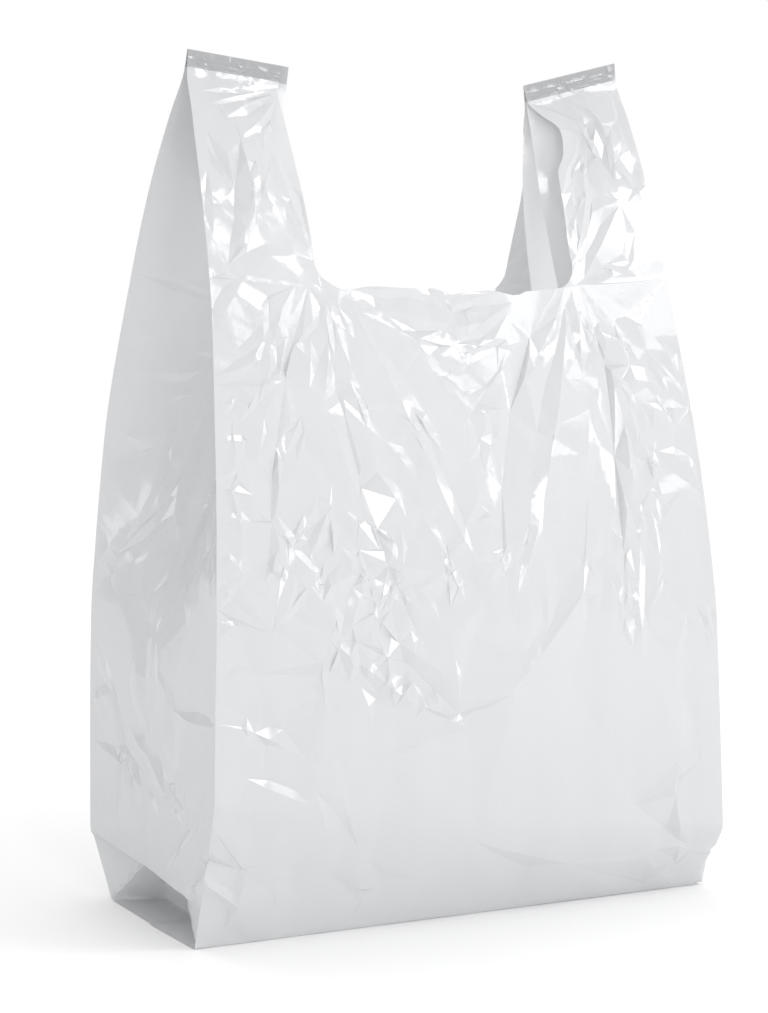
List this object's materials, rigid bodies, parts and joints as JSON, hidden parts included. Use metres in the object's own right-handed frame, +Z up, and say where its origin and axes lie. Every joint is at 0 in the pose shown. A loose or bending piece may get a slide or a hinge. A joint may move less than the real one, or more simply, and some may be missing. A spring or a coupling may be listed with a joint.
{
  "type": "plastic carrier bag",
  "caption": "Vest-style carrier bag of thin white film, standing open, with side gussets, a cut-out mouth and loop handles welded at the top.",
  "frame": {"origin": "middle of the base, on the surface the bag stands on", "axes": "+Z up through the mouth, +X along the front panel's width, -Y out of the front panel"},
  "size_m": [0.305, 0.165, 0.452],
  "materials": {
    "film": "glossy, slightly see-through white polythene film, creased and crinkled"
  },
  "bodies": {
    "root": {"carrier_bag": "film"}
  },
  "joints": []
}
